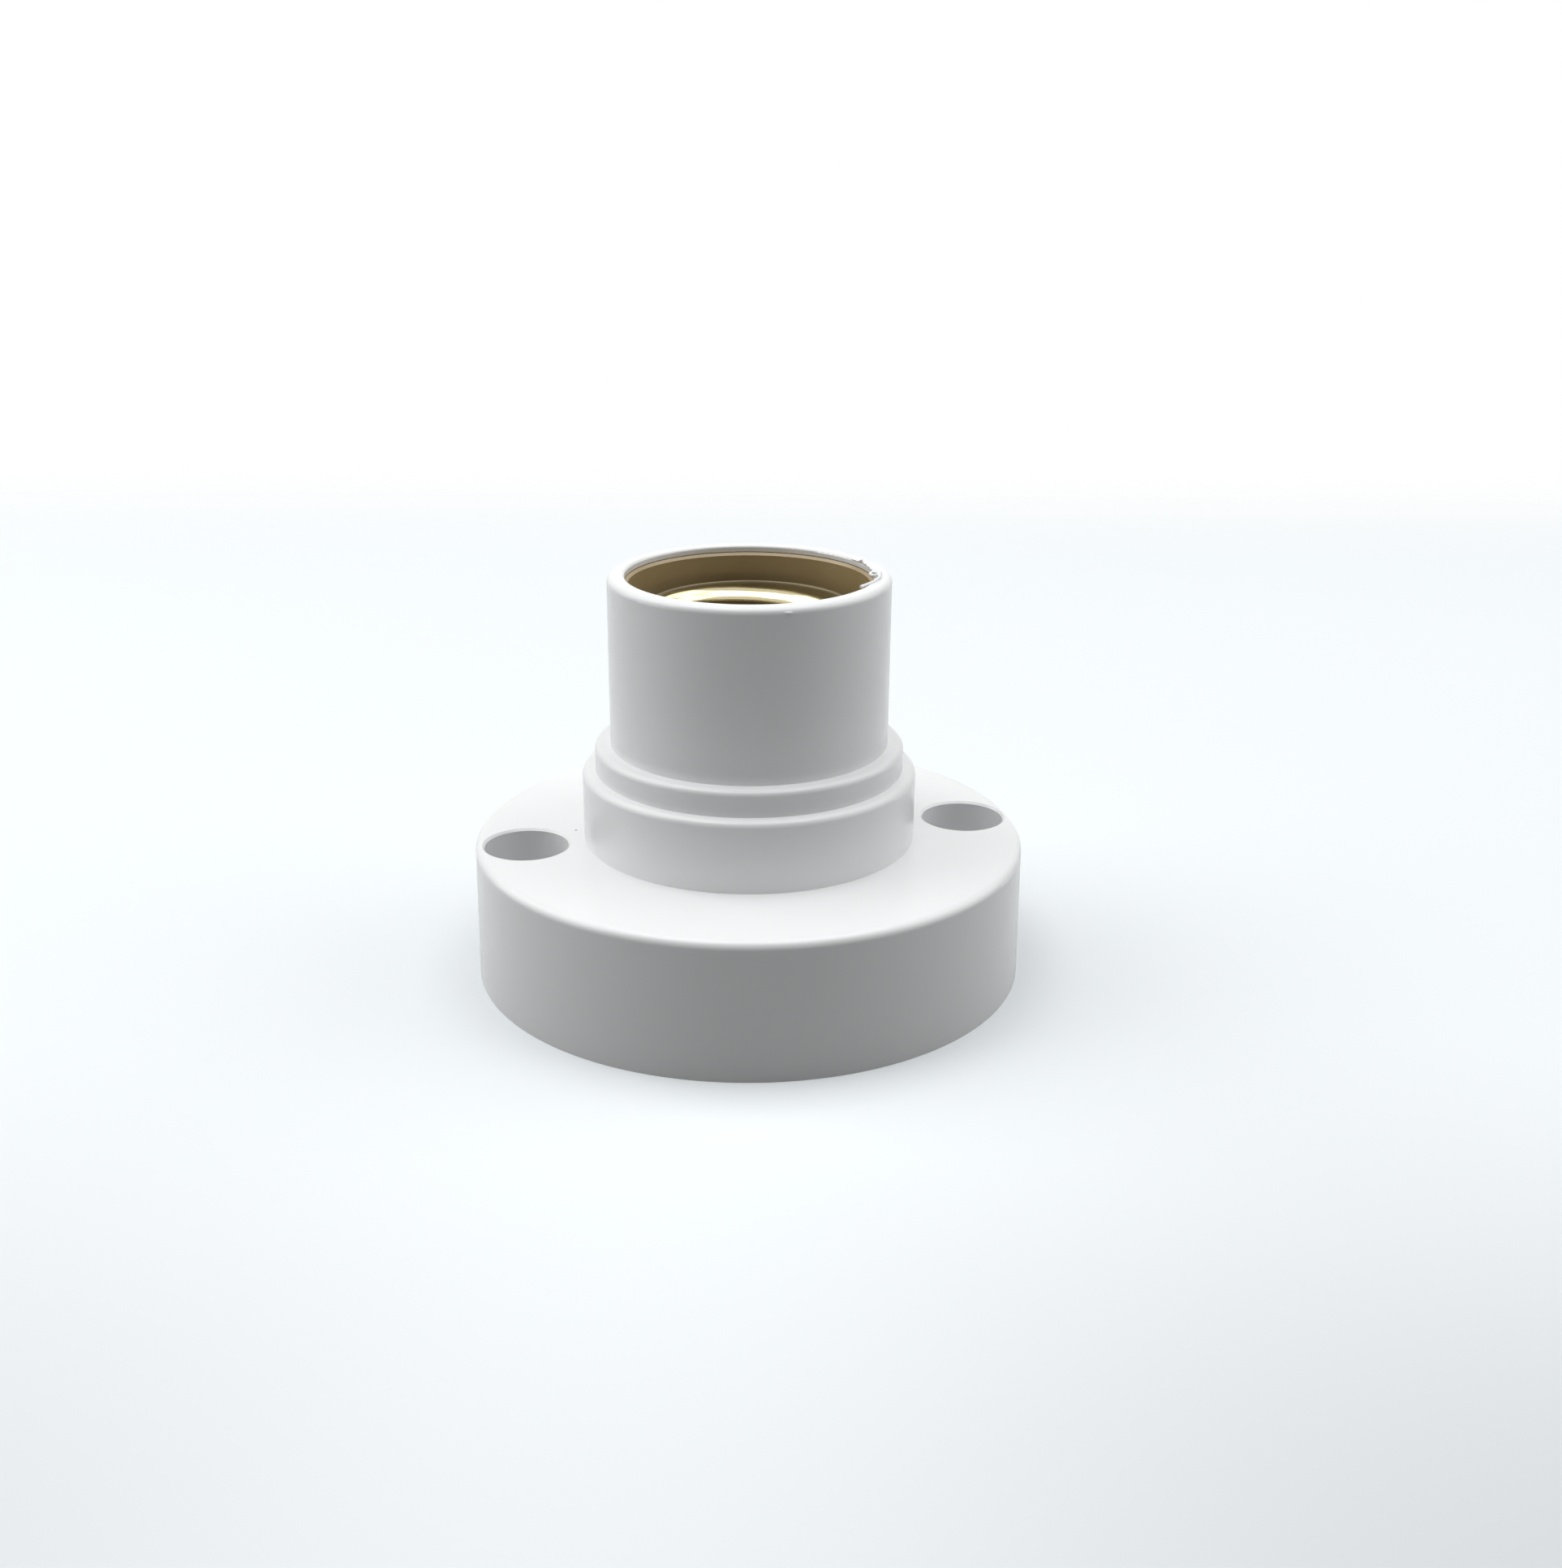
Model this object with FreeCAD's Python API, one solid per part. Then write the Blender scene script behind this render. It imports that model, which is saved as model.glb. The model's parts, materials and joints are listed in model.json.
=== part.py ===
"""Surface-mounted lamp holder for an E27 (27 mm Edison screw) bulb.

A round moulded base is screwed to a ceiling or a wall. A brown insulating core drops into the base's boss
and carries the rolled brass screw shell, the sprung centre contact and two pillar terminals. A white sleeve
screws into the boss, clamps the core's flange and shrouds the shell.

Millimetres. The origin is the centre of the base's underside, +Z points out of the lamp's mouth, and the two
mounting holes lie on the X axis.
"""

import FreeCAD, Part

import os
from math import sin, sqrt, tan

Vector = FreeCAD.Vector
ORIGIN = Vector(0, 0, 0)
UP = Vector(0, 0, 1)

# --- Driving dimensions ------------------------------------------------------------------------------------

# Edison screw shell: root and crest of the 27 mm holder thread
thread_root_radius = 13.35
shell_sheet = 0.4
shell_top_below_lip = 4.3
shell_foot_height = 7.5  # of the narrower foot below the thread
shell_foot_inset = 0.75
shell_foot_round = 1.0

# Insulating core
barrel_gap = 2.25  # the ring-shaped space round the shell
barrel_wall = 1.15
barrel_edge_chamfer = 0.35
floor_thickness = 4.0
core_flange_thickness = 2.5
key_width = 3.0
key_height = 1.8
barrier_thickness = 1.4
barrier_depth = 9.0
barrier_length = 20.0

# Sleeve
sleeve_wall = 1.25
sleeve_height = 23.0
flange_height = 3.5
flange_overhang = 2.1
flange_edge_round = 0.8
lip_overhang = 0.75  # how far the lip reaches in over the barrel's end
lip_thickness = 0.85
lip_outer_round = 0.9
lip_inner_round = 0.35

# Base moulding
base_radius = 37.5
base_height = 18.65
base_draft = 0.2  # how much the rim narrows on its way up
base_wall = 2.2
base_edge_round = 1.1
plate_thickness = 2.4
inside_round = 1.0
boss_wall = 2.95
boss_height = 9.65
boss_edge_round = 0.9
ledge_width = 3.55  # the shelf inside the boss that carries the core
ledge_thickness = 2.6
ledge_drop = 0.65  # shelf top below the base's top face
rib_thickness = 1.6
rib_clear_of_floor = 6.0
rib_angles = (45, 135, 225, 315)

# Mounting wells
mount_spacing = 61.0
well_radius = 5.65
well_edge_chamfer = 0.3
well_wall = 1.6
well_floor = 3.0
screw_hole_radius = 2.25

# M3 screws
screw_radius = 1.5
clamp_head_radius = 2.75
clamp_head_height = 1.9
dog_point_radius = 1.0
dog_point_length = 0.9
floor_head_radius = 1.75
floor_head_height = 1.2
slot_width = 0.7
slot_depth = 0.7
nut_side = 5.5
nut_height = 2.0

# Centre contact
strip_sheet = 0.5
strip_width = 5.0
strip_height = 5.2  # top of the free end above the core's floor
strip_rise = 1.9  # of the upper leg between the bend and the free end
strip_foot_margin = 0.25
free_end_front = 2.6
strip_bend_rounds = (1.7, 1.5, 1.5)
button_radius = 2.2
button_head = 1.3
button_shank_radius = 0.8
button_tail_radius = 1.3
button_tail = 0.5

# Pillar terminals
terminal_length = 8.0
terminal_width = 7.6
terminal_height = 10.0
wire_hole_radius = 1.6
wire_hole_drop = 4.6
wire_clamp_travel = 2.5  # how far a terminal screw is driven in from its open place
live_terminal_shift = 1.2  # of the live pillar, away from the neutral one
clamp_screw_shift = 1.8  # of the live pillar, away from the contact screw

# Clearances
running_clearance = 0.05  # a screw in its tapped hole, the button in its strip
sliding_clearance = 0.35  # sleeve over barrel, core flange in the boss
lip_clearance = 0.1  # the lip's flat underside to the barrel's end
thread_clearance = 0.9  # neck root to boss bore; the interlocking ridges fill it
key_clearance = 0.15
tip_clearance = 0.1  # a screw's tip to the wire hole
head_clearance = 0.1  # screw heads to the round in the shell's foot
flange_margin = 0.35  # of the shell's flange past its screw heads
live_clearance = 1.0  # the strip's corners to the shell

# --- Radii, from the shell outwards ------------------------------------------------------------------------

shell_radius = thread_root_radius + shell_sheet
shell_foot_radius = thread_root_radius - shell_foot_inset
shell_foot_inner_round = shell_foot_round - shell_sheet
barrel_bore_radius = shell_radius + barrel_gap
barrel_radius = barrel_bore_radius + barrel_wall
sleeve_bore_radius = barrel_radius + sliding_clearance
sleeve_radius = sleeve_bore_radius + sleeve_wall
mouth_radius = barrel_radius - lip_overhang
flange_radius = sleeve_radius + flange_overhang
boss_bore_radius = sleeve_radius + thread_clearance
boss_radius = boss_bore_radius + boss_wall
throat_radius = boss_bore_radius - ledge_width
core_flange_radius = boss_bore_radius - sliding_clearance

# --- Levels, from the mounting face upwards ----------------------------------------------------------------

plate_underside = base_height - plate_thickness
seat_level = base_height - ledge_drop
ledge_underside = seat_level - ledge_thickness
core_flange_top = seat_level + core_flange_thickness
floor_level = seat_level + floor_thickness
boss_top = base_height + boss_height
flange_top = boss_top + flange_height
lip_top = flange_top + sleeve_height
lip_underside = lip_top - lip_thickness
barrel_top = lip_underside - lip_clearance
shell_top = lip_top - shell_top_below_lip
shell_seat = floor_level + shell_sheet
shell_step = shell_seat + shell_foot_height
strip_top = floor_level + strip_height
terminal_bottom = seat_level - terminal_height
wire_level = seat_level - wire_hole_drop
floor_screw_tip = wire_level + wire_hole_radius + tip_clearance

# --- Places on the core's floor ----------------------------------------------------------------------------

shell_screw_offset = shell_foot_radius - shell_foot_inner_round - floor_head_radius - head_clearance
shell_flange_hole_radius = shell_screw_offset - floor_head_radius - flange_margin
strip_reach = sqrt((shell_flange_hole_radius - live_clearance) ** 2 - (strip_width / 2) ** 2)
contact_screw_offset = strip_reach - strip_foot_margin - floor_head_radius
free_end_back = contact_screw_offset - floor_head_radius - running_clearance
contact_screw_place = (0, -contact_screw_offset)
shell_screw_place = (shell_screw_offset, 0)
nut_screw_place = (-shell_screw_offset, 0)
live_terminal_place = (-live_terminal_shift, -contact_screw_offset - clamp_screw_shift)
neutral_terminal_place = shell_screw_place
barrier_place = ((live_terminal_place[0] + neutral_terminal_place[0]) / 2, -key_width)


# --- Shared shapes -----------------------------------------------------------------------------------------


def outline(corners):
    """A closed wire through (x, z) corners in the XZ plane; a third number rounds that corner."""
    points = [Vector(c[0], 0, c[1]) for c in corners]
    rounds = [c[2] if len(c) > 2 else 0 for c in corners]
    entries, exits, arcs = [], [], []
    for i, corner in enumerate(points):
        back = (points[i - 1] - corner).normalize()
        ahead = (points[(i + 1) % len(points)] - corner).normalize()
        if not rounds[i]:
            entries.append(corner)
            exits.append(corner)
            arcs.append(None)
            continue
        half = back.getAngle(ahead) / 2
        inward = (back + ahead).normalize()
        centre = corner + inward * (rounds[i] / sin(half))
        entries.append(corner + back * (rounds[i] / tan(half)))
        exits.append(corner + ahead * (rounds[i] / tan(half)))
        arcs.append(Part.Arc(entries[i], centre - inward * rounds[i], exits[i]).toShape())
    edges = []
    for i in range(len(points)):
        if arcs[i]:
            edges.append(arcs[i])
        ahead = (i + 1) % len(points)
        edges.append(Part.makeLine(exits[i], entries[ahead]))
    return Part.Wire(edges)


def turned(corners):
    """The solid that an (r, z) outline sweeps round the Z axis."""
    return Part.Face(outline(corners)).revolve(ORIGIN, UP, 360)


def extruded(corners, width):
    """The solid that an (x, z) outline sweeps along Y, centred on the XZ plane."""
    return Part.Face(outline(corners)).translated(Vector(0, -width / 2, 0)).extrude(Vector(0, width, 0))


def post(radius, low, high, x=0.0, y=0.0):
    """An upright cylinder from z = low to z = high."""
    return Part.makeCylinder(radius, high - low, Vector(x, y, low), UP)


def block(length, width, low, high, x=0.0, y=0.0):
    """A box centred on (x, y), from z = low to z = high."""
    return Part.makeBox(length, width, high - low, Vector(x - length / 2, y - width / 2, low))


def fused(shapes):
    return shapes[0].fuse(shapes[1:]).removeSplitter()


# --- Pieces ------------------------------------------------------------------------------------------------


def base_housing():
    """One moulding: rim, top plate and boss, with two screw wells and four ribs in its hollow underside."""
    top_radius = base_radius - base_draft
    envelope = turned([
        (0, 0),
        (base_radius, 0),
        (top_radius, base_height, base_edge_round),
        (boss_radius, base_height),
        (boss_radius, boss_top, boss_edge_round),
        (0, boss_top),
    ])
    boss_bore = post(boss_bore_radius, seat_level, boss_top)
    throat = post(throat_radius, 0, seat_level)
    hollow = turned([
        (0, 0),
        (base_radius - base_wall, 0),
        (top_radius - base_wall, plate_underside, inside_round),
        (boss_radius, plate_underside),
        (boss_radius, ledge_underside),
        (0, ledge_underside),
    ])
    well_bore = turned([
        (0, 0),
        (screw_hole_radius, 0),
        (screw_hole_radius, well_floor),
        (well_radius, well_floor),
        (well_radius, base_height - well_edge_chamfer),
        (well_radius + well_edge_chamfer, base_height),
        (0, base_height),
    ])
    wells, bores = [], []
    for x in (-mount_spacing / 2, mount_spacing / 2):
        wells.append(post(well_radius + well_wall, 0, plate_underside, x))
        bores.append(well_bore.translated(Vector(x, 0, 0)))
    ribs = []
    rib_length = base_radius - boss_radius
    rib_middle = (base_radius + boss_radius) / 2
    for angle in rib_angles:
        rib = block(rib_length, rib_thickness, rib_clear_of_floor, plate_underside, rib_middle)
        rib.rotate(ORIGIN, UP, angle)
        ribs.append(rib)
    hollow = hollow.cut(wells + ribs)
    housing = envelope.cut([boss_bore, throat, hollow] + bores)
    keys = []
    key_length = core_flange_radius - throat_radius
    for side in (-1, 1):
        y = side * (throat_radius + key_length / 2 + sliding_clearance)
        keys.append(block(key_width, key_length, seat_level, seat_level + key_height, 0, y))
    return fused([housing] + keys)


def threaded_sleeve():
    """White shroud: lip, tube, flange that seats on the boss, and the neck that screws into it."""
    return turned([
        (sleeve_radius, core_flange_top),
        (sleeve_radius, boss_top),
        (flange_radius, boss_top),
        (flange_radius, flange_top, flange_edge_round),
        (sleeve_radius, flange_top),
        (sleeve_radius, lip_top, lip_outer_round),
        (mouth_radius, lip_top, lip_inner_round),
        (mouth_radius, lip_underside),
        (sleeve_bore_radius, lip_underside),
        (sleeve_bore_radius, core_flange_top),
    ])


def socket_core():
    """Brown insulating cup with a keyed flange, screw holes and a barrier between its terminals."""
    cup = turned([
        (0, seat_level),
        (core_flange_radius, seat_level),
        (core_flange_radius, core_flange_top),
        (barrel_radius, core_flange_top),
        (barrel_radius, barrel_top),
        (barrel_bore_radius + barrel_edge_chamfer, barrel_top),
        (barrel_bore_radius, barrel_top - barrel_edge_chamfer),
        (barrel_bore_radius, floor_level),
        (0, floor_level),
    ])
    barrier_bottom = seat_level - barrier_depth
    barrier = block(barrier_thickness, barrier_length, barrier_bottom, seat_level, *barrier_place)
    notch_width = key_width + 2 * key_clearance
    notch_top = seat_level + key_height + key_clearance
    notch_depth = core_flange_radius - throat_radius
    cuts = []
    for side in (-1, 1):
        y = side * (throat_radius + notch_depth / 2)
        cuts.append(block(notch_width, notch_depth + 2 * key_clearance, seat_level, notch_top, 0, y))
    for place in (contact_screw_place, shell_screw_place, nut_screw_place):
        cuts.append(post(screw_radius + running_clearance, seat_level, floor_level, *place))
    return fused([cup, barrier]).cut(cuts)


def screw_shell():
    """Brass shell drawn from sheet: threaded barrel, narrower foot and an in-turned flange."""
    shell = turned([
        (shell_flange_hole_radius, floor_level),
        (shell_foot_radius + shell_sheet, floor_level, shell_foot_round),
        (shell_foot_radius + shell_sheet, shell_step - shell_sheet),
        (shell_radius, shell_step - shell_sheet),
        (shell_radius, shell_top),
        (thread_root_radius, shell_top),
        (thread_root_radius, shell_step),
        (shell_foot_radius, shell_step),
        (shell_foot_radius, shell_seat, shell_foot_inner_round),
        (shell_flange_hole_radius, shell_seat),
    ])
    hole = screw_radius + running_clearance
    places = (shell_screw_place, nut_screw_place)
    return shell.cut([post(hole, floor_level, shell_seat, *place) for place in places])


def contact_strip():
    """Phosphor-bronze strip folded into a C: a screwed lower leg and a springing upper leg."""
    first, second, third = strip_bend_rounds
    foot_top = floor_level + strip_sheet
    elbow = strip_top - strip_rise
    inside_bend = strip_reach - strip_sheet
    free_end_underside = strip_top - strip_sheet
    shape = extruded([
        (-strip_reach, floor_level),
        (strip_reach, floor_level, first),
        (strip_reach, elbow, second),
        (free_end_front, strip_top, third),
        (-free_end_back, strip_top),
        (-free_end_back, free_end_underside),
        (free_end_front, free_end_underside, third - strip_sheet),
        (inside_bend, elbow - strip_sheet, second - strip_sheet),
        (inside_bend, foot_top, first - strip_sheet),
        (-strip_reach, foot_top),
    ], strip_width)
    shape.rotate(ORIGIN, UP, 90)
    foot_hole = post(screw_radius + running_clearance, floor_level, foot_top, *contact_screw_place)
    tip_hole = post(button_shank_radius + running_clearance, free_end_underside, strip_top)
    return shape.cut([foot_hole, tip_hole])


def contact_button():
    """Domed contact pip riveted through the strip's free end."""
    free_end_underside = strip_top - strip_sheet
    return turned([
        (0, free_end_underside - button_tail),
        (button_tail_radius, free_end_underside - button_tail),
        (button_tail_radius, free_end_underside),
        (button_shank_radius, free_end_underside),
        (button_shank_radius, strip_top),
        (button_radius, strip_top),
        (button_radius, strip_top + button_head, button_head * 0.8),
        (0, strip_top + button_head),
    ])


def slotted_screw(head_radius, head_height, length):
    """A cheese-head screw standing on its tip at z = 0, its head on top."""
    screw = fused([
        post(screw_radius, 0, length),
        post(head_radius, length, length + head_height),
    ])
    top = length + head_height
    return screw.cut(block(2 * head_radius, slot_width, top - slot_depth, top))


def floor_screw(place, seat, tip):
    """A screw driven down through the core's floor, its head on the given seat."""
    screw = slotted_screw(floor_head_radius, floor_head_height, seat - tip)
    return screw.translated(Vector(*place, tip))


def clamp_screw(place):
    """A terminal's screw, driven from below, backed out until its tip just clears the wire hole."""
    tip = wire_level - wire_hole_radius - tip_clearance
    head_seat = terminal_bottom - wire_clamp_travel - tip_clearance
    screw = slotted_screw(clamp_head_radius, clamp_head_height, tip - head_seat)
    point = post(screw_radius, 0, dog_point_length).cut(post(dog_point_radius, 0, dog_point_length))
    screw = screw.cut(point)
    screw.rotate(ORIGIN, Vector(1, 0, 0), 180)
    return screw.translated(Vector(*place, tip))


def terminal(place, floor_screw_place):
    """Pillar terminal: a brass block with a wire hole along Y, tapped from below and from above."""
    mouth = Vector(place[0], place[1] - terminal_length / 2, wire_level)
    wire_hole = Part.makeCylinder(wire_hole_radius, terminal_length, mouth, Vector(0, 1, 0))
    tapped = screw_radius + running_clearance
    pillar = block(terminal_width, terminal_length, terminal_bottom, seat_level, *place)
    return pillar.cut([
        wire_hole,
        post(tapped, terminal_bottom, wire_level, *place),
        post(tapped, wire_level, seat_level, *floor_screw_place),
    ])


def square_nut(place):
    """The nut under the floor that holds the shell's second screw."""
    bottom = seat_level - nut_height
    nut = block(nut_side, nut_side, bottom, seat_level, *place)
    return nut.cut(post(screw_radius + running_clearance, bottom, seat_level, *place))


def parts():
    """Every piece by name, in its place."""
    return {
        "base_housing": base_housing(),
        "threaded_sleeve": threaded_sleeve(),
        "socket_core": socket_core(),
        "screw_shell": screw_shell(),
        "shell_screw_terminal_side": floor_screw(shell_screw_place, shell_seat, floor_screw_tip),
        "shell_screw_nut_side": floor_screw(nut_screw_place, shell_seat, seat_level - nut_height),
        "shell_nut": square_nut(nut_screw_place),
        "contact_strip": contact_strip(),
        "contact_button": contact_button(),
        "contact_screw": floor_screw(contact_screw_place, floor_level + strip_sheet, floor_screw_tip),
        "live_terminal": terminal(live_terminal_place, contact_screw_place),
        "neutral_terminal": terminal(neutral_terminal_place, shell_screw_place),
        "live_terminal_screw": clamp_screw(live_terminal_place),
        "neutral_terminal_screw": clamp_screw(neutral_terminal_place),
    }


os.makedirs("parts", exist_ok=True)
for name, shape in parts().items():
    assert shape.isValid(), name
    shape.exportStep(f"parts/{name}.step")
    print(name, len(shape.Solids), round(shape.Volume, 1))
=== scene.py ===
"""Looks of the surface-mounted E27 lamp holder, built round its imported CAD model.

Blender works in metres. The sizes named here are in mm, and are scaled where a mesh or a node takes them.
"""

import json
from math import cos, pi, radians, sin, sqrt, tan, tau

import bpy
from mathutils import Matrix, Vector


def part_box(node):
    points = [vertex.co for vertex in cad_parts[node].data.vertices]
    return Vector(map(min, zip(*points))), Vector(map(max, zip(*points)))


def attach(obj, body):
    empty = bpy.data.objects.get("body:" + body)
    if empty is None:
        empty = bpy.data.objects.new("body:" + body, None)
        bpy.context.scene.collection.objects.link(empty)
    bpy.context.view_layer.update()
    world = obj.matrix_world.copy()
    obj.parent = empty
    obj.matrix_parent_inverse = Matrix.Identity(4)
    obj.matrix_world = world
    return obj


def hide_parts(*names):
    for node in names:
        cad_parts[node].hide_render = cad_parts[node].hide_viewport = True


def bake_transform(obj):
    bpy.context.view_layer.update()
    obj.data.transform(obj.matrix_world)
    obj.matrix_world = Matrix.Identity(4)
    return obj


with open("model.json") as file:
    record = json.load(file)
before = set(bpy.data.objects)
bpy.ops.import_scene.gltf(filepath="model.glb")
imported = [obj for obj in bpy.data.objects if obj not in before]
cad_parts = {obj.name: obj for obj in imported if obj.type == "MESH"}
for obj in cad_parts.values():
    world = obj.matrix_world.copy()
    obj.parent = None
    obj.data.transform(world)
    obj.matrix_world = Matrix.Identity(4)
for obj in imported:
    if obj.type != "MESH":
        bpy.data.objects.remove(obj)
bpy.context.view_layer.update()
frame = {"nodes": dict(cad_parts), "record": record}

MM = 0.001

# --- Sizes of the object, in mm ----------------------------------------------------------------------------

# Rolled E27 shell; its thread is right-handed
SHEET = 0.4
THREAD_ROOT = 13.35
THREAD_CREST = 12.25
THREAD_PITCH = 3.629
SHELL_STEP = 29.9  # height at which the shell widens from its foot
THREAD_START = SHELL_STEP + 0.4  # height at which the thread begins to rise from the plain wall
THREAD_FULL = SHELL_STEP + 2.2  # height from which it has its full depth
FIRST_ROOT = 49.65  # height of the topmost root at FIRST_ROOT_ANGLE, in degrees round the axis
FIRST_ROOT_ANGLE = 76.7
RUN_OUT = (0.2, 0.5)  # turns past that root over which the last ridge fades into the plain collar
SHELL_FOOT = 12.6
SHELL_FOOT_ROUND = 0.6
SHELL_EDGE = 0.08
FLANGE_HOLE = 8.05

# Threads of the sleeve's neck and of the boss, which stand half a pitch apart
NECK_RADIUS = 18.75
NECK_TURNS = 3
BOSS_BORE = 19.65
BOSS_TURNS = 2.6
NECK_PITCH = 2.0
NECK_THREAD_START = 0.7  # above the sleeve's lower end
RIDGE_HEIGHT = 0.7
RIDGE_BASE = 1.1
RIDGE_TOP = 0.3
RIDGE_RUN_IN = 6  # the ridge rises to its height in one turn divided by this

# M3 screws
SCREW_RADIUS = 1.5
SCREW_PITCH = 0.5
SCREW_THREAD_DEPTH = 0.25
SCREW_CHAMFER = 0.12
SHELL_HEAD_HEIGHT = 1.2
CLAMP_HEAD_HEIGHT = 1.9
CLAMP_POINT_RADIUS = 1.0
CLAMP_POINT_LENGTH = 0.9
SLOT_WIDTH = 0.7
SLOT_DEPTH = 0.7

# Contact strip
STRIP_SHEET = 0.5
STRIP_EASE = 0.12  # bevel of its long edges
STRIP_FOOT_BEND = 1.45
STRIP_UPPER_BEND = 1.25
STRIP_ELBOW_TOP = 25.3
STRIP_FREE_BEND_Y = 2.6
STRIP_FREE_END_Y = -2.79

# Faults that moulding left on the sleeve's lip
MOUTH = 16.4
FLASH_TEETH = (  # degrees round the mouth, height
    (22, 0.04), (19, 0.1), (16.5, 0.07), (14.5, 0.22), (13, 0.5), (12, 0.62), (11, 0.45), (9.5, 0.16),
    (7, 0.28), (5, 0.12), (2, 0.2), (-1, 0.1), (-4, 0.26), (-7, 0.05),
)
SHAVING_RADIUS = 0.17
SHAVING = (  # x, y, rise above the lip, thickness as a share of the usual
    (16.2, -1.9, -0.2, 0.6), (16.5, -2.3, 0.1, 1.2), (16.8, -3.4, 0.3, 1.4), (16.5, -4.8, 0.3, 1.4),
    (15.7, -5.0, 0.15, 1.3), (15.25, -4.1, 0.1, 1.3), (15.7, -3.1, 0.2, 1.3), (16.4, -3.9, 0.35, 1.4),
    (16.3, -5.6, 0.2, 1.4), (15.5, -7.0, 0.1, 1.3), (14.5, -8.2, 0.05, 1.2), (13.3, -9.2, 0.0, 1.1),
    (12.7, -9.6, -0.1, 1.4),
)
BURR_PLACE = (1.5, -18.66, 54.12)
BURR_RADIUS = 0.16
BURR_STEP = 0.24
BURR_SIZES = (0.3, 0.9, 1.0, 0.9, 0.3)

# Dark speck moulded into the top of the base
SPECK_PLACE = (-23.5, 3.9, 18.65)
SPECK_RADIUS = 0.18

# --- Camera, floor and lamps, in mm, radians and watts -----------------------------------------------------

CAMERA_PLACE = (-42.32, -233.57, 111.30)
CAMERA_YAW = 0.19757
CAMERA_PITCH = 0.34747
CAMERA_ROLL = 0.007324
CAMERA_LENS = 42.385
CAMERA_SENSOR = 36

FLOOR_END = 380  # behind the object
FLOOR_REACH = 560  # to the other sides
FLOOR_FADE = 140
FLOOR_SIDES = 96
FLOOR_OPENING = 37.2  # radius, so that the floor reaches just under the base's rim
WELL_X = 30.5
SCREW_HOLE_COVER = 2.45  # radius of the discs under the screw holes
SCREW_HOLE_SIDES = 24
PAINTED_FLOOR_SHADE = (  # painted shade where the table darkens in front of the object: place, radius, colour
    ((-110, -115, 0), 110, (0.70, 0.72, 0.74)),
    ((50, -150, 0), 120, (0.62, 0.64, 0.66)),
)

LAMP_DISTANCE = 1300
LAMP_SIZE = 1300
LAMP_AIM = (0, 0, 20)
LAMPS = (  # name, elevation, azimuth, power
    ("top", 90, 0, 9.8),
    ("upper_left", 60, -100, 6.4),
    ("upper_right", 60, 100, 4.2),
    ("left", 30, -95, 6.9),
    ("right", 30, 98, 5.6),
)
UNDERSIDE_LIGHT = 0.7


# --- Mesh helpers ------------------------------------------------------------------------------------------


def in_mm(box):
    """The corners of a box that is in metres."""
    return [corner / MM for corner in box]


def add_object(name, data):
    obj = bpy.data.objects.new(name, data)
    bpy.context.scene.collection.objects.link(obj)
    return obj


def new_object(name, vertices, faces, sharp_angle=35):
    """A smooth-shaded mesh from vertices in mm; edges sharper than the angle stay crisp."""
    mesh = bpy.data.meshes.new(name)
    mesh.from_pydata([Vector(v) * MM for v in vertices], [], faces)
    mesh.validate()
    mesh.polygons.foreach_set("use_smooth", [True] * len(mesh.polygons))
    mesh.set_sharp_from_angle(angle=radians(sharp_angle))
    return add_object(name, mesh)


def grid_faces(rows, columns, wrap_rows=False):
    """Quads over rings of vertices, stored ring by ring."""
    faces = []
    for i in range(rows if wrap_rows else rows - 1):
        row = i * columns
        next_row = (i + 1) % rows * columns
        for j in range(columns):
            beside = (j + 1) % columns
            faces.append((row + j, row + beside, next_row + beside, next_row + j))
    return faces


def swept(name, rings, sharp_angle=35):
    """A closed solid through rings of vertices, with a face on each end."""
    columns = len(rings[0])
    last = (len(rings) - 1) * columns
    faces = grid_faces(len(rings), columns)
    faces.append(tuple(reversed(range(columns))))
    faces.append(tuple(range(last, last + columns)))
    return new_object(name, [v for ring in rings for v in ring], faces, sharp_angle)


def circle(sides, radius=1.0, centre=(0.0, 0.0)):
    """Corners of a regular polygon in a plane."""
    angles = [j / sides * tau for j in range(sides)]
    return [(centre[0] + radius * cos(a), centre[1] + radius * sin(a)) for a in angles]


def cut(obj, cutter, sharp_angle=30):
    """Takes the cutter's volume out of obj and removes the cutter."""
    modifier = obj.modifiers.new("cut", "BOOLEAN")
    modifier.object = cutter
    modifier.solver = "EXACT"
    evaluated = obj.evaluated_get(bpy.context.evaluated_depsgraph_get())
    mesh = bpy.data.meshes.new_from_object(evaluated)
    mesh.set_sharp_from_angle(angle=radians(sharp_angle))
    obj.modifiers.clear()
    obj.data = mesh
    bpy.data.objects.remove(cutter)


def smooth_step(x, low, high):
    """0 up to low, 1 from high on, and smooth between them."""
    t = min(1.0, max(0.0, (x - low) / (high - low)))
    return t * t * (3 - 2 * t)


def arc_wave(distance, period, depth):
    """0 at a root and depth at a crest half a period away, as equal arcs that meet smoothly."""
    distance = abs(distance - period * round(distance / period))
    quarter = period / 4
    radius = (quarter**2 + (depth / 2) ** 2) / depth
    if distance <= quarter:
        return radius - sqrt(radius**2 - distance**2)
    rest = 2 * quarter - distance
    return depth - radius + sqrt(radius**2 - rest**2)


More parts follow.
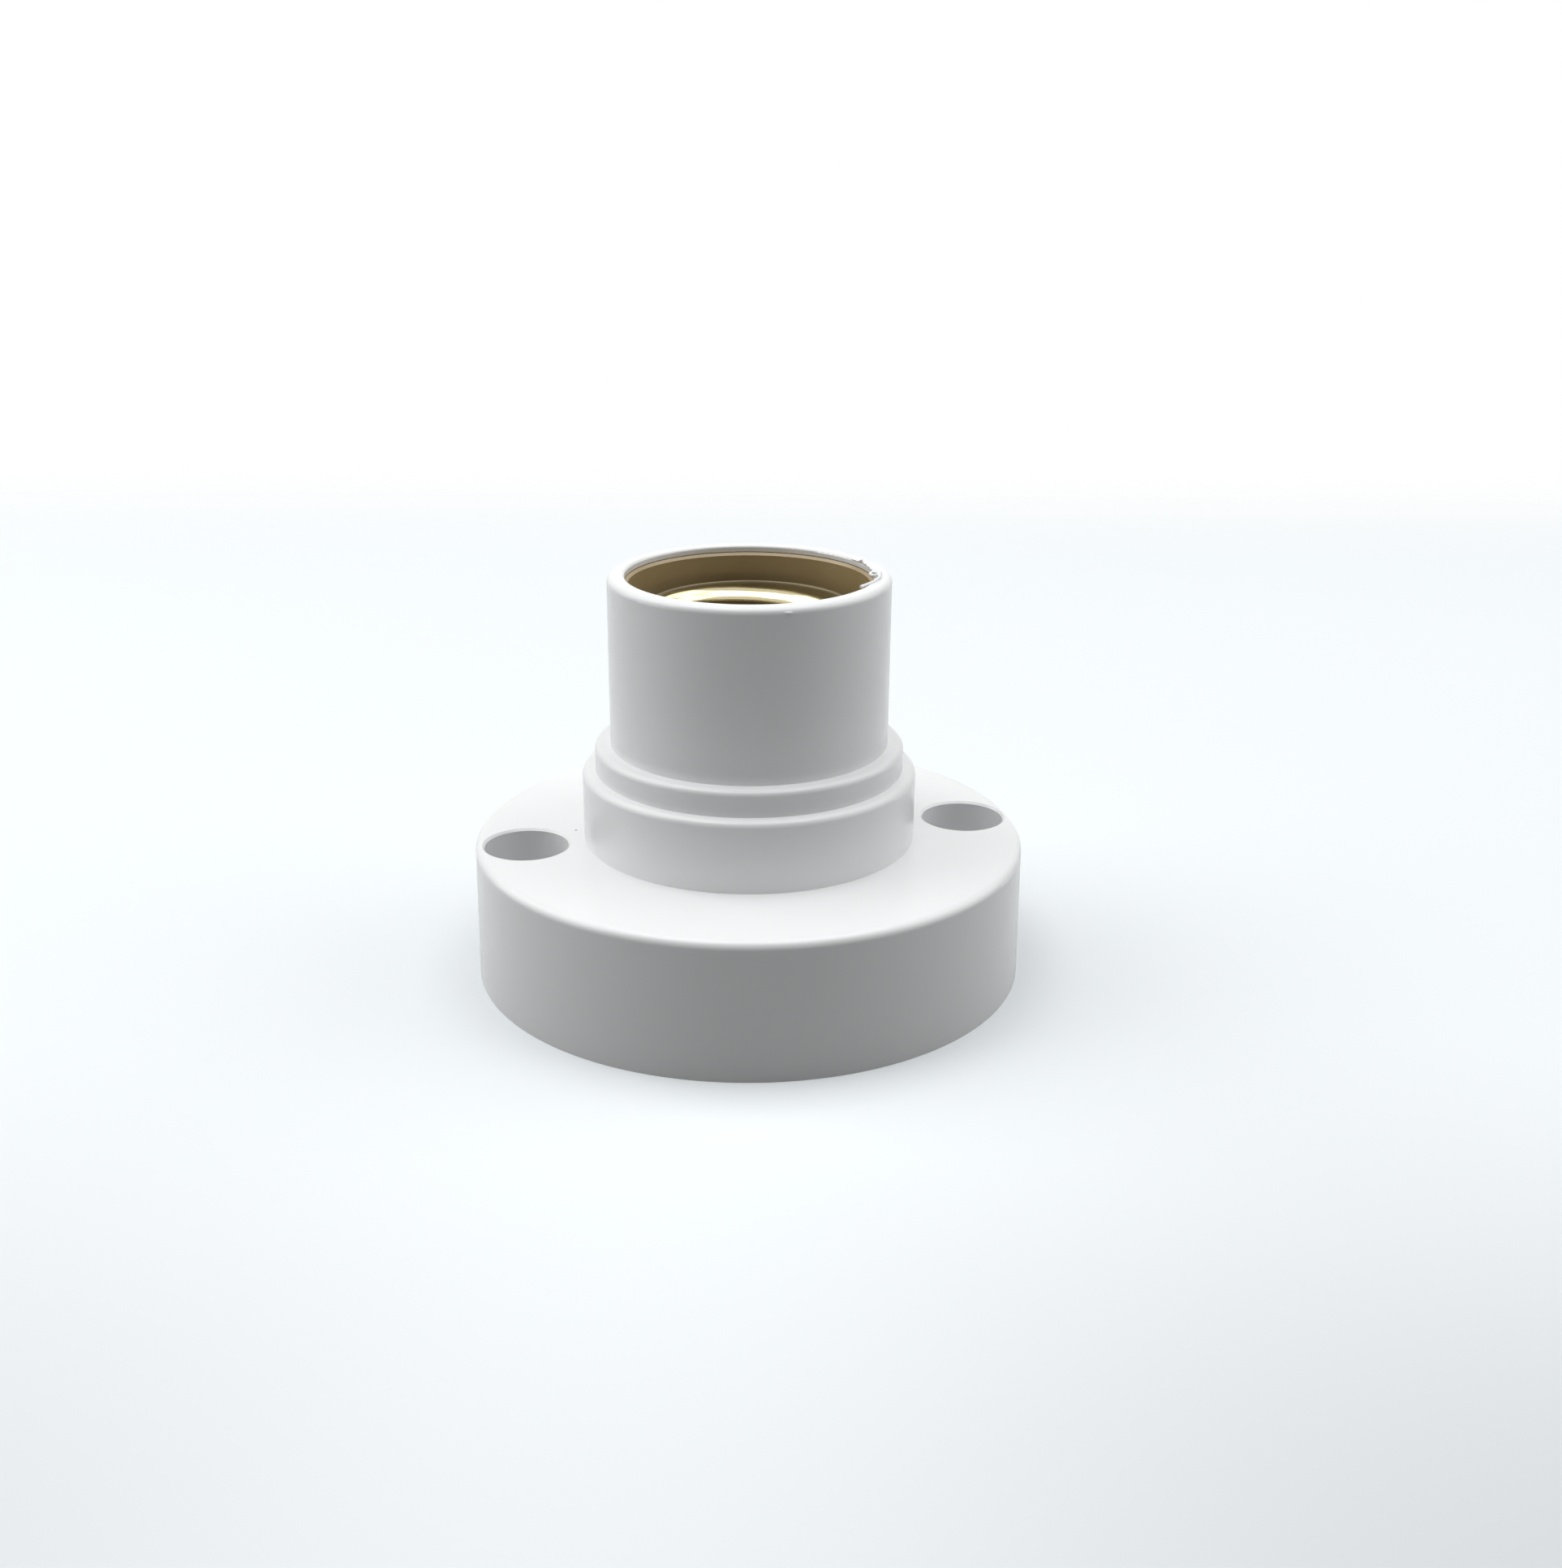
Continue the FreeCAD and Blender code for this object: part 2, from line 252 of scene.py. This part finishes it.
def rounded_path(corners, steps=8):
    """Points along straight runs, with an arc at each corner that has a third number, its radius."""
    points = [Vector(corners[0])]
    for before, corner, after in zip(corners, corners[1:], corners[2:]):
        here = Vector(corner[:2])
        radius = corner[2]
        back = (Vector(before[:2]) - here).normalized()
        ahead = (Vector(after[:2]) - here).normalized()
        half = back.angle(ahead) / 2
        centre = here + (back + ahead).normalized() * radius / sin(half)
        first = here + back * radius / tan(half)
        second = here + ahead * radius / tan(half)
        for k in range(steps + 1):
            spoke = (first - centre).lerp(second - centre, k / steps).normalized()
            points.append(centre + spoke * radius)
    points.append(Vector(corners[-1]))
    return points


# --- Pieces ------------------------------------------------------------------------------------------------


def rolled_in(z, angle):
    """How far the shell's threaded wall is rolled inwards at a height and an angle round the axis."""
    turn = (angle - radians(FIRST_ROOT_ANGLE)) / tau
    turn -= round(turn)
    root = FIRST_ROOT + THREAD_PITCH * turn
    if z >= root:
        return 0.0
    narrowing = (THREAD_ROOT - SHELL_FOOT) * (1 - smooth_step(z, SHELL_STEP - 0.2, SHELL_STEP + 1.0))
    strength = smooth_step(z, THREAD_START, THREAD_FULL)
    if z > root - THREAD_PITCH:
        strength *= 1 - smooth_step(turn, *RUN_OUT)
    return narrowing + strength * arc_wave(root - z, THREAD_PITCH, THREAD_ROOT - THREAD_CREST)


def rolled_shell():
    """One brass sheet: plain collar, rolled E27 thread, narrower foot and in-turned flange."""
    segments, rows_a_pitch, arc_steps = 192, 18, 6
    low, top = (corner.z for corner in in_mm(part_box("screw_shell")))
    seat = low + SHEET
    edge = SHELL_EDGE
    step = THREAD_PITCH / rows_a_pitch
    levels = [SHELL_STEP + step * k for k in range(1, int((top - SHELL_STEP - 0.1) / step))]
    quarter_turn = [k / arc_steps * pi / 2 for k in range(arc_steps + 1)]

    def foot_bend(radius):
        """Arc round the middle of the foot's bend, from the wall to the flange."""
        middle, height = SHELL_FOOT - SHELL_FOOT_ROUND, seat + SHELL_FOOT_ROUND
        return [(middle + radius * cos(a), height - radius * sin(a)) for a in quarter_turn]

    inside_wall = [(THREAD_ROOT, z) for z in [top - edge] + levels[::-1]]
    inside_foot = [
        (SHELL_FOOT + 0.3, SHELL_STEP),
        (SHELL_FOOT + 0.08, SHELL_STEP - 0.1),
        (SHELL_FOOT, SHELL_STEP - 0.35),
    ] + foot_bend(SHELL_FOOT_ROUND)
    flange_edge = [
        (FLANGE_HOLE + edge, seat),
        (FLANGE_HOLE, seat - edge),
        (FLANGE_HOLE, low + edge),
        (FLANGE_HOLE + edge, low),
    ]
    outside_foot = foot_bend(SHELL_FOOT_ROUND + SHEET)[::-1] + [
        (SHELL_FOOT + SHEET, SHELL_STEP - 0.8),
        (SHELL_FOOT + SHEET + 0.1, SHELL_STEP - 0.5),
    ]
    outside_wall = [(THREAD_ROOT + SHEET, z) for z in levels + [top - edge]]
    rim = [(THREAD_ROOT + SHEET - edge, top), (THREAD_ROOT + SHEET / 2, top), (THREAD_ROOT + edge, top)]

    vertices = []
    stretches = (
        (inside_wall, True),
        (inside_foot + flange_edge + outside_foot, False),
        (outside_wall, True),
        (rim, False),
    )
    for points, threaded in stretches:
        for radius, z in points:
            for j in range(segments):
                angle = j / segments * tau
                r = radius - rolled_in(z, angle) if threaded else radius
                vertices.append((r * cos(angle), r * sin(angle), z))
    faces = grid_faces(len(vertices) // segments, segments, wrap_rows=True)
    return new_object("rolled_shell", vertices, faces, sharp_angle=50)


def thread_ridge(name, wall, height, low, turns):
    """A right-hand trapezoid ridge wound on a round wall; a negative height stands inwards."""
    steps = round(turns * 72)
    foot = wall - 0.1 * height
    rings = []
    for i in range(steps + 1):
        share = i / steps
        run_in = min(1.0, RIDGE_RUN_IN * turns * share, RIDGE_RUN_IN * turns * (1 - share))
        crest = wall + height * max(run_in, 0.05)
        angle = share * turns * tau
        middle = low + share * turns * NECK_PITCH
        section = (
            (foot, RIDGE_BASE / 2),
            (crest, RIDGE_TOP / 2),
            (crest, -RIDGE_TOP / 2),
            (foot, -RIDGE_BASE / 2),
        )
        rings.append([(r * cos(angle), r * sin(angle), middle + rise) for r, rise in section])
    return swept(name, rings)


def screw_tip(root, point_radius, point_length):
    """Outline of a screw's lower end: a plain chamfer, or a dog point where it has a length."""
    if not point_length:
        return [(root - 0.2, 0.0), (root, 0.25)]
    widest = point_radius + 0.1
    return [(point_radius, 0.0), (widest, 0.25), (widest, point_length), (root, point_length + 0.1)]


def screw(node, head_height, head_below, slot_angle, point_length):
    """A slotted cheese-head M3 screw with its thread, in the place of a CAD screw."""
    segments, rows_a_pitch = 28, 8
    low, high = in_mm(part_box(node))
    centre = (low + high) / 2
    head = (high.x - low.x) / 2
    top = high.z - low.z
    length = top - head_height
    root = SCREW_RADIUS - SCREW_THREAD_DEPTH
    chamfer = SCREW_CHAMFER

    tip = screw_tip(root, CLAMP_POINT_RADIUS, point_length)
    start = tip[-1][1] + 0.1
    rows = int((length - 0.1 - start) / SCREW_PITCH * rows_a_pitch)
    shank = [(root, start + k * SCREW_PITCH / rows_a_pitch) for k in range(rows)]
    head_outline = [
        (root, length - 0.02),
        (head - chamfer, length),
        (head, length + chamfer),
        (head, top - 0.35),
        (head - chamfer, top - chamfer),
        (head - 0.4, top - 0.02),
        (0.4, top),
    ]
    rings = []
    for points, threaded in ((tip, False), (shank, True), (head_outline, False)):
        for radius, z in points:
            ring = []
            for j in range(segments):
                angle = j / segments * tau
                r = radius
                if threaded:
                    wave = arc_wave(z - SCREW_PITCH * angle / tau, SCREW_PITCH, SCREW_THREAD_DEPTH)
                    r += smooth_step(z, start, start + 0.5) * wave
                ring.append((r * cos(angle), r * sin(angle), z))
            rings.append(ring)
    obj = swept(f"{node}_look", rings, sharp_angle=40)

    reach, half = head + 1, SLOT_WIDTH / 2
    turn = Matrix.Rotation(slot_angle, 2)
    corners = ((-reach, -half), (reach, -half), (reach, half), (-reach, half))
    section = [turn @ Vector(corner) for corner in corners]
    cut(obj, swept("slot", [[(*corner, z) for corner in section] for z in (top - SLOT_DEPTH, top + 1)]))

    stand = Matrix.Rotation(pi, 4, "X") if head_below else Matrix.Identity(4)
    tip_height = high.z if head_below else low.z
    obj.data.transform(Matrix.Translation(Vector((centre.x, centre.y, tip_height)) * MM) @ stand)
    return obj


def contact_spring():
    """Springy bronze strip bent into a C, with its long edges eased, on the path that the CAD strip takes."""
    low, high = in_mm(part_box("contact_strip"))
    half_sheet, half_width = STRIP_SHEET / 2, high.x
    lower, upper, bend = low.z + half_sheet, high.z - half_sheet, high.y - half_sheet
    path = rounded_path([
        (low.y, lower),
        (bend, lower, STRIP_FOOT_BEND),
        (bend, STRIP_ELBOW_TOP - half_sheet, STRIP_UPPER_BEND),
        (STRIP_FREE_BEND_Y, upper, STRIP_UPPER_BEND),
        (STRIP_FREE_END_Y, upper),
    ])
    section = [
        (half_width - STRIP_EASE, half_sheet),
        (half_width, half_sheet - STRIP_EASE),
        (half_width, STRIP_EASE - half_sheet),
        (half_width - STRIP_EASE, -half_sheet),
    ]
    section += [(-across, out) for across, out in reversed(section)]
    rings = []
    for i, point in enumerate(path):
        ahead = path[min(i + 1, len(path) - 1)] - path[max(i - 1, 0)]
        normal = Vector((-ahead.y, ahead.x)).normalized()
        rings.append([(across, *(point + normal * out)) for across, out in section])
    return swept("contact_spring", rings)


def lip_flash():
    """Moulding flash left on the lip's inner edge: a ragged row with one tall tooth."""
    lip = in_mm(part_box("threaded_sleeve"))[1].z
    rings = []
    for angle, height in FLASH_TEETH:
        a = radians(angle)
        section = (
            (MOUTH + 0.08, lip - 0.35),
            (MOUTH + 0.35, lip - 0.05),
            (MOUTH + 0.12, lip - 0.05 + height),
            (MOUTH - 0.1, lip - 0.15 + 0.9 * height),
        )
        rings.append([(r * cos(a), r * sin(a), z) for r, z in section])
    return swept("lip_flash", rings, sharp_angle=20)


def lip_shaving():
    """A shaving that curls up from the same edge and then lies along it."""
    lip = in_mm(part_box("threaded_sleeve"))[1].z
    curve = bpy.data.curves.new("lip_shaving", "CURVE")
    curve.dimensions = "3D"
    curve.bevel_depth = SHAVING_RADIUS * MM
    curve.bevel_resolution = 2
    curve.use_fill_caps = True
    spline = curve.splines.new("NURBS")
    spline.points.add(len(SHAVING) - 1)
    for point, (x, y, rise, thickness) in zip(spline.points, SHAVING):
        point.co = (x * MM, y * MM, (lip + rise) * MM, 1)
        point.radius = thickness
    spline.order_u = 3
    spline.use_endpoint_u = True
    return add_object("lip_shaving", curve)


def lip_burr():
    """A tiny burr on the lip's outer round, at the front."""
    x, y, z = BURR_PLACE
    rings = []
    for k, size in enumerate(BURR_SIZES):
        along = x + (k - len(BURR_SIZES) // 2) * BURR_STEP
        rings.append([(along, out, up) for out, up in circle(8, BURR_RADIUS * size, (y, z))])
    return swept("lip_pip", rings)


# --- Materials ---------------------------------------------------------------------------------------------


class Nodes:
    """A node tree, with short calls that add a node and set or link its inputs."""

    def __init__(self, tree):
        self.tree = tree

    def node(self, kind, inputs=None, **settings):
        made = self.tree.nodes.new(kind)
        for key, value in settings.items():
            setattr(made, key, value)
        for key, value in (inputs or {}).items():
            self.put(value, made.inputs[key])
        return made

    def put(self, value, socket):
        """Links another node's output to a socket, or sets the socket to a plain value."""
        if isinstance(value, bpy.types.NodeSocket):
            self.tree.links.new(value, socket)
        else:
            socket.default_value = value

    def maths(self, operation, *values):
        return self.node("ShaderNodeMath", dict(enumerate(values)), operation=operation).outputs[0]

    def spread(self, value, to_low=0.0, to_high=1.0, from_low=0.0, from_high=1.0, interpolation="LINEAR"):
        """The value moved from one range to another, and kept inside it."""
        inputs = {
            "Value": value,
            "From Min": from_low,
            "From Max": from_high,
            "To Min": to_low,
            "To Max": to_high,
        }
        return self.node("ShaderNodeMapRange", inputs, interpolation_type=interpolation).outputs["Result"]

    def seen_directly(self):
        """1 for a ray that shows a surface to the camera, in a reflection or through glass; else 0."""
        path = self.node("ShaderNodeLightPath").outputs
        seen = self.maths("MAXIMUM", path["Is Camera Ray"], path["Is Glossy Ray"])
        return self.maths("MAXIMUM", seen, path["Is Transmission Ray"])


class Finish(Nodes):
    """A procedural material: one Principled shader fed from object-space noise."""

    def __init__(self, name, **sockets):
        self.material = bpy.data.materials.new(name)
        self.material.use_nodes = True
        super().__init__(self.material.node_tree)
        self.shader = self.tree.nodes["Principled BSDF"]
        self.place = self.node("ShaderNodeTexCoord").outputs["Object"]
        for key, value in sockets.items():
            self.shader.inputs[key.replace("_", " ")].default_value = value

    def noise(self, scale, detail=2.0, stretch=(1, 1, 1), distortion=0.0):
        """Noise with about this many features a metre; a larger stretch packs them closer along that axis."""
        mapping = self.node("ShaderNodeMapping", {"Vector": self.place, "Scale": stretch})
        inputs = {
            "Vector": mapping.outputs["Vector"],
            "Scale": scale,
            "Detail": detail,
            "Distortion": distortion,
        }
        return self.node("ShaderNodeTexNoise", inputs).outputs["Fac"]

    def blend(self, factor, first, second):
        """The first colour where the factor is 0, the second where it is 1."""
        mix = self.node("ShaderNodeMix", data_type="RGBA")
        colours = [(*c, 1) if isinstance(c, tuple) else c for c in (first, second)]
        for value, index in zip((factor, *colours), (0, 6, 7)):
            self.put(value, mix.inputs[index])
        return mix.outputs[2]

    def clouds(self, noise, first, second):
        """A colour that drifts between two with the noise."""
        return self.blend(self.spread(noise, from_low=0.3, from_high=0.7), first, second)

    def measure(self, operation, vector):
        """A vector operation on the place and a fixed vector that comes to one number."""
        inputs = {0: self.place, 1: vector}
        return self.node("ShaderNodeVectorMath", inputs, operation=operation).outputs["Value"]

    def distance(self, centre):
        """Distance in metres from a place in mm."""
        return self.measure("DISTANCE", tuple(c * MM for c in centre))

    def fade(self, value, start, end):
        """0 where a length in metres comes to the start in mm, 1 at the end, and smooth between them."""
        return self.spread(value, 0.0, 1.0, start * MM, end * MM, "SMOOTHSTEP")

    def colour(self, value):
        self.put(value, self.shader.inputs["Base Color"])

    def roughness(self, factor, low, high):
        self.put(self.spread(factor, low, high), self.shader.inputs["Roughness"])

    def relief(self, height, depth):
        """Bumps of a depth in mm."""
        bump = self.node("ShaderNodeBump", {"Height": height, "Strength": 0.3, "Distance": depth * MM})
        self.put(bump.outputs["Normal"], self.shader.inputs["Normal"])


def white_plastic():
    """Glossy moulded white, with one dark speck in the top of the base."""
    finish = Finish("white_plastic", IOR=1.49)
    tint = finish.clouds(finish.noise(45, detail=3), (0.83, 0.84, 0.845), (0.85, 0.86, 0.865))
    speck = finish.fade(finish.distance(SPECK_PLACE), SPECK_RADIUS, 0.8 * SPECK_RADIUS)
    finish.colour(finish.blend(speck, tint, (0.12, 0.12, 0.12)))
    finish.roughness(finish.noise(260, detail=4), 0.18, 0.3)
    finish.relief(finish.noise(500, detail=3), 0.012)
    return finish.material


def brown_plastic():
    """Satin brown phenolic, with faint flow marks along the moulding's length."""
    finish = Finish("brown_plastic", IOR=1.55)
    flow = finish.noise(70, detail=5, stretch=(1, 1, 0.5), distortion=0.6)
    finish.colour(finish.clouds(flow, (0.32, 0.235, 0.11), (0.39, 0.29, 0.15)))
    finish.roughness(finish.noise(400, detail=4), 0.25, 0.4)
    finish.relief(finish.noise(1500, detail=2), 0.01)
    return finish.material


def shell_brass():
    """Rolled brass, with a painted highlight on each thread's upper flank, which faces the light from above,
    and painted shade on the rest of the shell.
    """
    finish = Finish("shell_brass")
    x, y, z = finish.node("ShaderNodeSeparateXYZ", {0: finish.place}).outputs
    turns_a_metre = tau / (THREAD_PITCH * MM)
    at_origin = radians(FIRST_ROOT_ANGLE) - tau * FIRST_ROOT / THREAD_PITCH
    climb = finish.maths("MULTIPLY_ADD", z, turns_a_metre, at_origin)
    phase = finish.maths("SUBTRACT", climb, finish.maths("ARCTAN2", y, x))
    # Mask by the thread's phase: painted highlight on each upper flank, painted shade elsewhere; roughness
    # and metalness follow the same mask
    painted_highlight_flank = finish.spread(finish.maths("SINE", phase), 0.0, 1.0, 0.0, -0.3, "SMOOTHSTEP")
    clouds = finish.noise(140, detail=4)
    # Lit and shaded copies of the brass: the painted highlight colour and the painted shade colour
    painted_highlight_brass = finish.clouds(clouds, (0.60, 0.525, 0.32), (0.68, 0.60, 0.39))
    painted_shade_brass = finish.clouds(clouds, (0.15, 0.115, 0.055), (0.20, 0.155, 0.08))
    finish.colour(finish.blend(painted_highlight_flank, painted_shade_brass, painted_highlight_brass))
    finish.roughness(painted_highlight_flank, 0.35, 0.14)
    finish.put(finish.spread(painted_highlight_flank, 0.15, 1.0), finish.shader.inputs["Metallic"])
    finish.relief(finish.noise(300, detail=4, stretch=(1, 1, 12)), 0.004)
    return finish.material


def metal(name, dark, light, smooth, rough, grain=(1, 1, 1)):
    """Bare metal with tarnish clouds, and working marks packed closest along the grain's largest axis."""
    finish = Finish(name, Metallic=1.0)
    finish.colour(finish.clouds(finish.noise(120, detail=5), dark, light))
    marks = finish.noise(600, detail=4, stretch=grain)
    finish.roughness(marks, smooth, rough)
    finish.relief(marks, 0.004)
    return finish.material


MATERIALS = {
    "white_plastic": white_plastic(),
    "brown_plastic": brown_plastic(),
    "shell_brass": shell_brass(),
    "terminal_brass": metal("terminal_brass", (0.74, 0.57, 0.27), (0.82, 0.66, 0.34), 0.22, 0.38, (1, 8, 1)),
    "contact_bronze": metal("contact_bronze", (0.70, 0.47, 0.27), (0.78, 0.55, 0.33), 0.2, 0.35, (8, 1, 1)),
    "contact_silver": metal("contact_silver", (0.74, 0.73, 0.70), (0.82, 0.81, 0.78), 0.18, 0.3),
    "zinc_steel": metal("zinc_steel", (0.60, 0.61, 0.62), (0.70, 0.71, 0.72), 0.25, 0.4),
}


# --- Assembly ----------------------------------------------------------------------------------------------


def finish_piece(obj, slot, body):
    """Gives a new piece its material slot's look, and the body that it rides on if one is given."""
    obj.data.materials.clear()
    obj.data.materials.append(MATERIALS[slot])
    if body:
        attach(obj, body)


for subpart in frame["record"]["subparts"]:
    for material_slot in frame["nodes"][subpart["node"]].material_slots:
        material_slot.material = MATERIALS[subpart["material_slot"]]

shell = rolled_shell()
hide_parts("screw_shell")
finish_piece(shell, "shell_brass", "root")

neck_start = in_mm(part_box("threaded_sleeve"))[0].z + NECK_THREAD_START
boss_start = neck_start + NECK_PITCH / 2
neck_thread = thread_ridge("sleeve_thread", NECK_RADIUS, RIDGE_HEIGHT, neck_start, NECK_TURNS)
boss_thread = thread_ridge("boss_thread", BOSS_BORE, -RIDGE_HEIGHT, boss_start, BOSS_TURNS)
finish_piece(neck_thread, "white_plastic", "sleeve")
finish_piece(boss_thread, "white_plastic", "root")

for piece in (lip_flash(), lip_shaving(), lip_burr()):
    finish_piece(piece, "white_plastic", "sleeve")

screws = (  # node, head's height, whether the head is below, the slot's angle, dog point's length, body
    ("shell_screw_terminal_side", SHELL_HEAD_HEIGHT, False, 0.5, 0.0, "root"),
    ("shell_screw_nut_side", SHELL_HEAD_HEIGHT, False, 2.1, 0.0, "root"),
    ("contact_screw", SHELL_HEAD_HEIGHT, False, 1.2, 0.0, "root"),
    ("live_terminal_screw", CLAMP_HEAD_HEIGHT, True, 0.9, CLAMP_POINT_LENGTH, "live_clamp"),
    ("neutral_terminal_screw", CLAMP_HEAD_HEIGHT, True, 2.5, CLAMP_POINT_LENGTH, "neutral_clamp"),
)
for node, head_height, head_below, slot_angle, point_length, body in screws:
    made = screw(node, head_height, head_below, slot_angle, point_length)
    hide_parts(node)
    finish_piece(made, "zinc_steel", body)

# The strip rides no body; its placement is baked into its mesh
strip = contact_spring()
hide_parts("contact_strip")
finish_piece(strip, "contact_bronze", None)
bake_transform(strip)


# --- Floor, backdrop, lamps and camera ---------------------------------------------------------------------


def floor_mesh():
    """A table top turned with the camera, open under the object's hollow but not under its screw holes."""
    turn = Matrix.Rotation(-CAMERA_YAW, 2)
    edge, opening = [], []
    for ray in (Vector(corner) for corner in circle(FLOOR_SIDES)):
        end = FLOOR_END if ray.y > 0 else FLOOR_REACH
        reach = min(FLOOR_REACH / max(abs(ray.x), 1e-6), end / max(abs(ray.y), 1e-6))
        edge.append((*(turn @ (ray * reach)), 0))
        opening.append((*(turn @ (ray * FLOOR_OPENING)), 0))
    vertices = edge + opening
    faces = grid_faces(2, FLOOR_SIDES)

    for side in (-1, 1):
        faces.append(tuple(range(len(vertices), len(vertices) + SCREW_HOLE_SIDES)))
        disc = circle(SCREW_HOLE_SIDES, SCREW_HOLE_COVER, (side * WELL_X, 0))
        vertices += [(x, y, 0) for x, y in disc]
    return new_object("floor", vertices, faces)


def floor_finish():
    """Matt, nearly white where it is seen, with painted shade in front of the object, and grey where it
    lights, and clear at its ends and from below.
    """
    finish = Finish("floor", Roughness=0.7, Specular_IOR_Level=0.0)
    shown = finish.clouds(finish.noise(3, detail=1), (0.825, 0.86, 0.88), (0.84, 0.875, 0.895))
    # Painted shade: soft darker patches on the table in front of the object
    for centre, radius, colour in PAINTED_FLOOR_SHADE:
        shown = finish.blend(finish.fade(finish.distance(centre), radius, 0), shown, colour)
    finish.colour(finish.blend(finish.seen_directly(), (0.26, 0.26, 0.26), shown))

    behind = finish.measure("DOT_PRODUCT", (sin(CAMERA_YAW), cos(CAMERA_YAW), 0))
    around = finish.distance((0, 0, 0))
    clearness = finish.node("ShaderNodeNewGeometry").outputs["Backfacing"]
    for length, end in ((behind, FLOOR_END), (around, FLOOR_REACH)):
        clearness = finish.maths("MAXIMUM", clearness, finish.fade(length, end - FLOOR_FADE, end))
    clear = finish.node("ShaderNodeBsdfTransparent").outputs[0]
    surface = finish.node("ShaderNodeMixShader", {0: clearness, 1: finish.shader.outputs[0], 2: clear})
    finish.put(surface.outputs[0], finish.tree.nodes["Material Output"].inputs["Surface"])
    return finish.material


def add_floor():
    obj = floor_mesh()
    obj.data.materials.append(floor_finish())


def add_backdrop():
    """White where it is seen. As light it is dark above, where the lamps are, and shines from below."""
    world = bpy.data.worlds.new("backdrop")
    world.use_nodes = True
    nodes = Nodes(world.node_tree)
    nodes.tree.nodes.clear()
    direction = nodes.node("ShaderNodeTexCoord").outputs["Generated"]
    height = nodes.node("ShaderNodeSeparateXYZ", {0: direction}).outputs["Z"]
    from_below = nodes.spread(height, 0.0, UNDERSIDE_LIGHT, -0.1, -0.4)
    strength = nodes.maths("MAXIMUM", from_below, nodes.seen_directly())
    background = nodes.node("ShaderNodeBackground", {"Color": (1, 1, 1, 1), "Strength": strength})
    nodes.node("ShaderNodeOutputWorld", {"Surface": background.outputs[0]})
    bpy.context.scene.world = world


def add_lamp(name, elevation, azimuth, power):
    """A large square lamp aimed at the object; azimuth turns from the camera's side (0) to its right (90)."""
    e, a = radians(elevation), radians(azimuth) - CAMERA_YAW
    data = bpy.data.lights.new(name, "AREA")
    data.size = LAMP_SIZE * MM
    data.energy = power
    lamp = add_object(name, data)
    lamp.location = Vector((sin(a) * cos(e), -cos(a) * cos(e), sin(e))) * LAMP_DISTANCE * MM
    lamp.rotation_mode = "QUATERNION"
    lamp.rotation_quaternion = (Vector(LAMP_AIM) * MM - lamp.location).to_track_quat("-Z", "Y")


def add_camera():
    """Looks down on the object from its front left."""
    level = Vector((sin(CAMERA_YAW), cos(CAMERA_YAW), 0))
    forward = level * cos(CAMERA_PITCH) - Vector((0, 0, sin(CAMERA_PITCH)))
    right = Vector((cos(CAMERA_YAW), -sin(CAMERA_YAW), 0))
    up = right.cross(forward)
    rolled_right = right * cos(CAMERA_ROLL) + up * sin(CAMERA_ROLL)
    rolled_up = up * cos(CAMERA_ROLL) - right * sin(CAMERA_ROLL)
    data = bpy.data.cameras.new("camera")
    data.sensor_width = CAMERA_SENSOR
    data.lens = CAMERA_LENS
    data.clip_start = 0.01
    data.clip_end = 20
    camera = add_object("camera", data)
    turn = Matrix((rolled_right, rolled_up, -forward)).transposed().to_4x4()
    camera.matrix_world = Matrix.Translation(Vector(CAMERA_PLACE) * MM) @ turn
    bpy.context.scene.camera = camera


add_floor()
add_backdrop()
for lamp in LAMPS:
    add_lamp(*lamp)
add_camera()
bpy.context.scene.view_settings.view_transform = "Standard"
